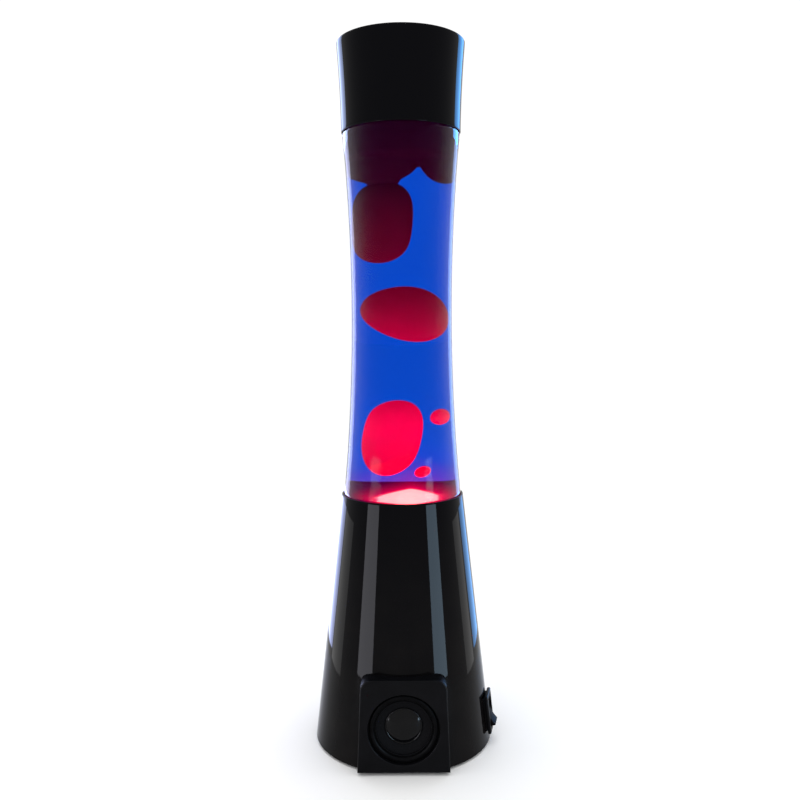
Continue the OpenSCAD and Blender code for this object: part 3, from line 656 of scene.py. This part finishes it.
# Liquid: dyed water that fills the bottle to its neck. It wets the glass, so its surface lies
# a hair inside the wall and light passes from one to the other without an air gap.
def dyed_water():
    # Water with cobalt blue dye, clear throughout. Near the wax pool its colour is painted
    # purple, for the glow of the lit wax scattered in it.
    material, place = begin("blue_dyed_water")
    painted_glow_x, painted_glow_slope = 4, 0.4
    aside = maths(material, "ADD", along(material, place, "X"), -painted_glow_x * mm)
    far_off = maths(material, "ABSOLUTE", aside)
    above_painted_glow = maths(material, "MULTIPLY_ADD", far_off, painted_glow_slope, along(material, place, "Z"))
    # Painted light: the purple stops low down stand for the glow of the wax; the blue stops are the dye.
    stops = [(0.0, "#A830B8"), (0.22, "#7434BE"), (0.42, "#3A44D2"), (0.65, "#0C48CE"), (1.0, "#0748C8")]
    return finish(material, {
        "Base Color": graded(material, level(material, above_painted_glow, 0, 1, 150 * mm, 186 * mm),
                             [(stop, linear(code)) for stop, code in stops]),
        "Transmission Weight": 1.0,
        "Roughness": 0.0,
        "IOR": 1.33,
        "Specular Tint": linear("#202020")})


liquid_top = 378
outline = hollow(-0.1) + [(neck_r - glass_wall + 0.1, liquid_top - 0.8), (neck_r - 3.4, liquid_top - 0.2),
                          (neck_r - 4.6, liquid_top), (0, liquid_top)]
piece(spun(outline, 160, closed=False), "blue_liquid", dyed_water(), "bottle", "blue_liquid", "liquid")


# Wax: one charge of dyed paraffin in slow movement. The bulb's light in it is painted on as a
# glow, strong near the bulb, so the pool and the low blobs are bright and the mass under the cap
# is a dark maroon. Its index is close to the liquid's, so it has no shine there.
def glowing_wax():
    # Red paraffin lit from below, its light painted on as emission: the painted glow falls off with
    # height, is stronger on the undersides, and is a little cloudy where the wax is stirred.
    material, place = begin("glowing_red_paraffin")
    share = level(material, along(material, place, "Z"), 0, 1, 150 * mm, 350 * mm)
    stops = [(0.0, 0.42), (0.06, 0.5), (0.17, 1.0), (0.27, 0.70), (0.42, 0.38), (0.53, 0.20),
             (0.64, 0.095), (0.75, 0.06), (0.86, 0.020), (1.0, 0.010)]
    normal = add(material, "ShaderNodeNewGeometry", {}).outputs["Normal"]
    # Painted light from below: faces that look down glow more.
    painted_underlight = level(material, along(material, normal, "Z"), 1.18, 0.68, -1, 1)
    cloud = noise(material, place, 7 * mm, detail=3)
    full_glow = 28.0
    painted_glow_strength = level(material, cloud, 0.85 * full_glow, 1.15 * full_glow)
    return finish(material, {
        "Base Color": between(material, cloud, linear("#2C0206"), linear("#3C0409")),
        "Roughness": 0.5,
        "Specular IOR Level": 0.0,
        "Emission Color": graded(material, share, [
            (stop, (glow, 0.0, glow * 0.0035 + 0.0003, 1)) for stop, glow in stops]),
        "Emission Strength": maths(material, "MULTIPLY", painted_underlight, painted_glow_strength)})


def blob(centre, wide, deep, up, down, belly=0.0, shift=0.0, droop=0.0, waves=0.0, fat=0.0, boxy=0.0):
    """A lump of wax. Belly widens its lower half and boxy both its ends, shift leans its top
    towards +X, droop lowers that side, fat makes it taller, and waves makes the lump uneven."""
    bm = bmesh.new()
    bmesh.ops.create_icosphere(bm, subdivisions=5, radius=1)
    for vert in bm.verts:
        x, y, z = vert.co
        swell = 1 - belly * z + boxy * z * z + waves * math.sin(3 * x + 2 * z + 1) * math.cos(2 * y - z)
        height = z * (up if z > 0 else down) * (1 + fat * x)
        vert.co = Vector((x * wide * swell + shift * z, y * deep * swell, height - droop * x)) * mm
    bmesh.ops.translate(bm, verts=bm.verts, vec=Vector(centre) * mm)
    return bm


wax = glowing_wax()
blobs = [
    blob((-8.7, 0, 299.6), 13.8, 13.0, 24.0, 21.4, belly=-0.06, shift=1.2, waves=0.03, boxy=0.28),
    blob((1.2, 0, 249.6), 19.6, 17.0, 15.4, 15.6, shift=-1.0, droop=1.6, waves=0.02, fat=0.16),
    blob((-4.6, 0, 178.2), 13.6, 12.4, 21.8, 22.0, belly=-0.08, shift=3.0, waves=0.05, boxy=0.13),
    blob((17.0, 0, 189.9), 4.7, 4.3, 4.8, 4.3, shift=0.3),
    blob((8.9, 0, 158.4), 3.5, 3.4, 3.2, 3.1, shift=0.5, droop=-0.3),
]
piece(gathered(blobs), "drifting_blobs", wax, "bottle", "red_wax", "wax_blobs", smooth=180)


# The mass under the shoulder: blobs that have risen and run together, with two lobes that
# hang from it on the way down.
slab = spun([(0, 335), (26, 335), (29.0, 336.5), (30.2, 346), (30.1, 352), (0, 352)], 96, closed=False)
lobes = [
    blob((-9.2, 0, 336), 17.2, 16.0, 8, 13.4, shift=1),
    blob((18.0, 0, 337), 10.8, 13.0, 8, 14.4, shift=-0.6),
    blob((-8, 0, 325), 7.6, 7.6, 6, 6),
    blob((-11, 12, 336), 12.0, 11.0, 8, 8.5),
]
top = mesh_object(gathered([slab] + lobes), "scratch", wax)
remesh = top.modifiers.new("join", "REMESH")
remesh.mode = "VOXEL"
remesh.voxel_size = 0.7 * mm
soften = top.modifiers.new("soften", "SMOOTH")
soften.iterations = 14
soften.factor = 0.6
bm = bmesh.new()
bm.from_object(top, bpy.context.evaluated_depsgraph_get())
bpy.data.objects.remove(top)
piece(bm, "risen_wax", wax, "bottle", "red_wax", "wax_top", smooth=180)


# The pool: melted wax that covers the heater coil, with a low mound where the bulb is hottest.
# The mound narrows from the front glass towards the back, and ridge is the radius of its crest.
pool_front, mound_x, mound_wide, mound_deep, mound_h = 31.3, 3.8, 19, 31, 2.4
ridge = 1.4


def molten_wax():
    # Melted paraffin straight over the bulb, its light painted on as emission: nearly white on the
    # mound, red round it, and a painted shade of deep magenta towards the far glass and the floor.
    # Reach is 0 at the front of the mound.
    material, place = begin("molten_paraffin")
    aside = maths(material, "ADD", along(material, place, "X"), -mound_x * mm)
    wing = maths(material, "POWER", maths(material, "MULTIPLY_ADD", aside, aside, (ridge * mm) ** 2), 0.5)
    run = maths(material, "MULTIPLY_ADD", along(material, place, "Y"), mound_wide / mound_deep, wing)
    reach = maths(material, "MULTIPLY_ADD", run, 1 / (mound_wide * mm), pool_front / mound_deep)
    sunk = level(material, along(material, place, "Z"), 0, 1.28, 146 * mm, 134 * mm)
    fading = maths(material, "POWER", sunk, 0.5)
    # Painted glow: it fades away from the front of the mound and with depth below the surface.
    painted_glow_falloff = maths(material, "ADD", level(material, reach, 0, 1, 0, 2.5), fading)
    stops = [(0.0, (1.0, 0.36, 0.09)), (0.38, (1.0, 0.27, 0.075)), (0.43, (0.34, 0.02, 0.02)),
             (0.5, (0.16, 0.0, 0.010)), (0.68, (0.08, 0.0, 0.006)), (0.92, (0.022, 0.0, 0.005))]
    cloud = noise(material, place, 5 * mm, detail=3)
    return finish(material, {
        "Base Color": between(material, cloud, linear("#240206"), linear("#300309")),
        "Roughness": 0.5,
        "Specular IOR Level": 0.0,
        "Emission Color": graded(material, painted_glow_falloff, [(stop, (*colour, 1)) for stop, colour in stops]),
        "Emission Strength": level(material, cloud, 9.0, 12.5)})


pool_z, mound_end = 147.8, 1.3
pool_r = glass_r(pool_z) - glass_wall - 0.25
steps = 20
surface = [(pool_r * (1 - i / steps), pool_z) for i in range(steps + 1)]
below = [(0, floor_z + 5.3)] + arc(pool_r - 4, floor_z + 9.3, 4, -90, 0, 8)
bm = spun(below + surface, 128, closed=False)
for vert in bm.verts:
    x, y = vert.co.x / mm, vert.co.y / mm
    reach = math.hypot(x - mound_x, ridge) / mound_wide + (y + pool_front) / mound_deep
    if vert.co.z > (pool_z - 0.1) * mm and reach < mound_end:
        rise = 1 - (reach / mound_end) ** 2
        vert.co.z += mound_h * mm * rise * min(1, (pool_front - abs(y)) / 8 + 0.2)
piece(bm, "melted_pool", molten_wax(), "bottle", "red_wax", "wax_pool", smooth=180)


# Crown cap: tinplate, pressed over the lip of the bottle and crimped into 21 flutes. It carries
# a foam liner that seals the liquid in.
def tinplate():
    # Tin-plated steel: bright, with a soft spangle and a slight dulling where it was crimped.
    material, place = begin("bright_tinplate")
    spangle = add(material, "ShaderNodeTexVoronoi", {
        "Vector": place, "Scale": 1 / (1.6 * mm)}).outputs["Color"]
    value = add(material, "ShaderNodeSeparateColor", {"Color": spangle}).outputs["Red"]
    return finish(material, {
        "Base Color": between(material, value, linear("#C9CACC"), linear("#DDDEDF")),
        "Metallic": 1.0,
        "Roughness": level(material, value, 0.16, 0.32)})


crown_top, crown_wall, flutes = 389.3, 0.35, 21
over = [(0, crown_top), (12.2, crown_top), (13.3, crown_top - 0.35), (14, crown_top - 1.5),
        (14.4, crown_top - 3), (14.8, crown_top - 4.8), (15.05, crown_top - 6)]
under = [(r - crown_wall, z - (crown_wall if z > crown_top - 1 else 0)) for r, z in reversed(over[1:])]
bm = spun(over + under + [(0, crown_top - crown_wall)], flutes * 8, closed=False)
for vert in bm.verts:
    deep = (crown_top - 1.5) * mm - vert.co.z
    if deep > 0:
        swell = 0.33 * min(1, deep / (3.5 * mm)) * math.cos(flutes * math.atan2(vert.co.y, vert.co.x))
        out = Vector((vert.co.x, vert.co.y, 0)).normalized()
        vert.co += out * swell * mm
piece(bm, "fluted_crown", tinplate(), "bottle", "cap_steel", "crown_cap")


# Steel hardware: the lampholder bracket and the basket of the loudspeaker are pressed from
# zinc-plated sheet, and the lampholder's nut and all the screws are zinc-plated steel.
def dressed(material, *names):
    """Gives this material to CAD nodes that are shown as they are."""
    for name in names:
        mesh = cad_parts[name].data
        mesh.materials.clear()
        mesh.materials.append(material)


def zinc_plate(name, tint, scratches):
    # Zinc-plated mild steel: a greyish spangle, a trace of yellow passivate and fine scuffs.
    material, place = begin(name)
    spangle = noise(material, place, 2.5 * mm, detail=4)
    streaks = add(material, "ShaderNodeMapping", {"Vector": place, "Scale": (1, 9, 1)}).outputs["Vector"]
    scuff = noise(material, streaks, 1.8 * mm, detail=5, roughness=0.7)
    return finish(material, {
        "Base Color": between(material, spangle, linear("#8F9296"), linear(tint), 0.3, 0.7),
        "Metallic": 1.0,
        "Roughness": level(material, scuff, 0.22, 0.58),
        "Normal": bump(material, scuff, 0.02 * mm, scratches)})


dressed(zinc_plate("zinc_plated_sheet", "#B6B7B4", 0.5), "lampholder_bracket", "speaker_basket")
dressed(zinc_plate("zinc_plated_screws", "#C6C2AE", 0.2), "bottom_screws", "speaker_box_screws",
        "speaker_screws", "bracket_screws", "board_screws", "lampholder_nut")


# Bottle seat and bottom plate: two ABS mouldings inside the cone. The foot of the bottle rests
# on the seat, and the plate closes the cone and lets cool air in.
dressed(abs_plastic, "bottle_seat", "bottom_plate")


# Motor of the loudspeaker: a sintered ferrite ring between steel plates, a copper voice coil
# in its gap, and a corrugated cloth spider that centres the coil.
def ferrite():
    # Sintered ferrite: charcoal grey, with open pores and a dull ground face.
    material, place = begin("sintered_ferrite")
    grain = noise(material, place, 0.8 * mm, detail=6, roughness=0.7)
    return finish(material, {
        "Base Color": between(material, grain, linear("#26272A"), linear("#3E3F43"), 0.3, 0.7),
        "Roughness": 0.62,
        "Normal": bump(material, grain, 0.05 * mm, 0.6)})


def spider_cloth():
    # Cotton cloth stiffened with phenolic resin: amber, with its weave still showing.
    material, place = begin("resin_stiffened_cotton")
    warp = add(material, "ShaderNodeTexWave", {"Vector": place, "Scale": 1 / (2.2 * mm)},
               bands_direction="X").outputs["Fac"]
    weft = add(material, "ShaderNodeTexWave", {"Vector": place, "Scale": 1 / (2.2 * mm)},
               bands_direction="Z").outputs["Fac"]
    weave = maths(material, "MULTIPLY", warp, weft)
    return finish(material, {
        "Base Color": between(material, weave, linear("#8A6A2A"), linear("#D0AC62")),
        "Roughness": 0.7,
        "Normal": bump(material, weave, 0.06 * mm, 0.5)})


def enamelled_copper():
    # Enamelled copper wire, closely wound: orange-brown, one turn every 0.3 mm.
    material, place = begin("enamelled_copper_winding")
    turns = add(material, "ShaderNodeTexWave", {"Vector": place, "Scale": 1 / (6.0 * mm)},
                bands_direction="Y").outputs["Fac"]
    return finish(material, {
        "Base Color": between(material, turns, linear("#8C4A22"), linear("#D98A4E")),
        "Metallic": 0.9,
        "Roughness": 0.3,
        "Normal": bump(material, turns, 0.05 * mm, 0.6)})


dressed(ferrite(), "speaker_magnet")
dressed(spider_cloth(), "speaker_spider")
dressed(enamelled_copper(), "voice_coil")


# Lampholder and bulb: a moulded holder in the bracket, and a frosted reflector bulb whose
# light warms the bottle from below.
def holder_resin():
    # White thermoplastic polyester, a little yellowed and speckled by the heat of the bulb.
    material, place = begin("white_holder_resin")
    heat = noise(material, place, 6 * mm, detail=4)
    return finish(material, {
        "Base Color": between(material, heat, linear("#CFC6B0"), linear("#E6E1D4"), 0.3, 0.7),
        "Roughness": level(material, heat, 0.35, 0.5)})


def nickel():
    # Nickel-plated brass of the bulb's screw cap: bright, with darker heat marks.
    material, place = begin("nickel_plated_brass")
    marks = noise(material, place, 3 * mm, detail=4)
    return finish(material, {
        "Base Color": between(material, marks, linear("#9A978F"), linear("#C8C6C0"), 0.3, 0.7),
        "Metallic": 1.0,
        "Roughness": level(material, marks, 0.15, 0.35)})


def frosted_bulb():
    # Acid-frosted glass in front of a lit filament: warm white, brightest at its crown.
    material, place = begin("lit_frosted_bulb_glass")
    crown = level(material, along(material, place, "Z"), 0, 1, 60 * mm, 120 * mm)
    frost = noise(material, place, 0.6 * mm, detail=3)
    return finish(material, {
        "Base Color": linear("#F3EFE6"),
        "Roughness": level(material, frost, 0.4, 0.6),
        "Emission Color": between(material, crown, linear("#FFB060"), linear("#FFE2B0")),
        "Emission Strength": level(material, crown, 1.2, 4.0)})


dressed(holder_resin(), "lampholder")
dressed(nickel(), "bulb_cap")
dressed(frosted_bulb(), "bulb_glass")


# Electronics: two boards of green glass-fibre laminate with their parts, brass tags on the
# switch, and PVC-covered leads held along the inside of the cone.
def laminate():
    # Epoxy glass laminate under green solder mask, with the tracks showing as a lighter green.
    material, place = begin("solder_masked_laminate")
    tracks = add(material, "ShaderNodeTexBrick", {
        "Vector": place, "Scale": 1 / (6 * mm), "Mortar Size": 0.03,
        "Color1": linear("#0E4A26"), "Color2": linear("#125A2E"),
        "Mortar": linear("#3C8A4E")}).outputs["Color"]
    return finish(material, {"Base Color": tracks, "Roughness": 0.35})


def moulded_parts():
    # Capacitor sleeves, a transformer's tape and moulded packages: each part its own shade.
    material, place = begin("sleeved_components")
    cell = add(material, "ShaderNodeTexVoronoi", {
        "Vector": place, "Scale": 1 / (11 * mm)}).outputs["Color"]
    value = add(material, "ShaderNodeSeparateColor", {"Color": cell}).outputs["Green"]
    return finish(material, {
        "Base Color": between(material, value, linear("#1B1C20"), linear("#B08A28"), 0.35, 0.65),
        "Roughness": level(material, value, 0.3, 0.5)})


def bare_brass():
    # Stamped brass tags: yellow, a little tarnished and wiped with solder.
    material, place = begin("stamped_brass")
    tarnish = noise(material, place, 2 * mm, detail=4)
    return finish(material, {
        "Base Color": between(material, tarnish, linear("#8A6A34"), linear("#D9B872"), 0.3, 0.7),
        "Metallic": 1.0,
        "Roughness": level(material, tarnish, 0.25, 0.5)})


def lead_cover(name, dark, light):
    # Extruded PVC insulation: an even satin sheen and fine lengthwise variation.
    material, place = begin(name)
    shade = noise(material, place, 2 * mm, detail=3)
    return finish(material, {
        "Base Color": between(material, shade, linear(dark), linear(light)),
        "Roughness": level(material, shade, 0.32, 0.48)})


dressed(laminate(), "mains_board", "amplifier_board")
dressed(moulded_parts(), "mains_board_parts", "amplifier_board_parts")
dressed(bare_brass(), "switch_terminals")
dressed(lead_cover("brown_pvc_lead", "#4A2414", "#5E3220"), "mains_leads")
dressed(lead_cover("red_pvc_lead", "#7E1414", "#941C1C"), "speaker_leads")


# Heater coil and liner: a ring of zinc-plated spring wire lies in the wax and spreads the heat.
# The liner is a disc of white foam under the crown cap.
def spring_wire():
    # Zinc-plated steel wire, coiled: grey and bright, with a slightly wandering sheen.
    material, place = begin("zinc_plated_spring_wire")
    sheen = noise(material, place, 1.5 * mm, detail=3)
    return finish(material, {
        "Base Color": between(material, sheen, linear("#8C8E90"), linear("#C6C8CA")),
        "Metallic": 1.0,
        "Roughness": level(material, sheen, 0.2, 0.4)})


def liner_foam():
    # Closed-cell polyethylene foam: white, with fine bubbles under its skin.
    material, place = begin("white_polyethylene_foam")
    bubbles = add(material, "ShaderNodeTexVoronoi", {
        "Vector": place, "Scale": 1 / (0.5 * mm)}).outputs["Distance"]
    return finish(material, {
        "Base Color": between(material, bubbles, linear("#D8D8D4"), linear("#F0F0EC")),
        "Roughness": 0.6,
        "Normal": bump(material, bubbles, 0.08 * mm, 0.5)})


dressed(spring_wire(), "heater_coil")
dressed(liner_foam(), "crown_liner")
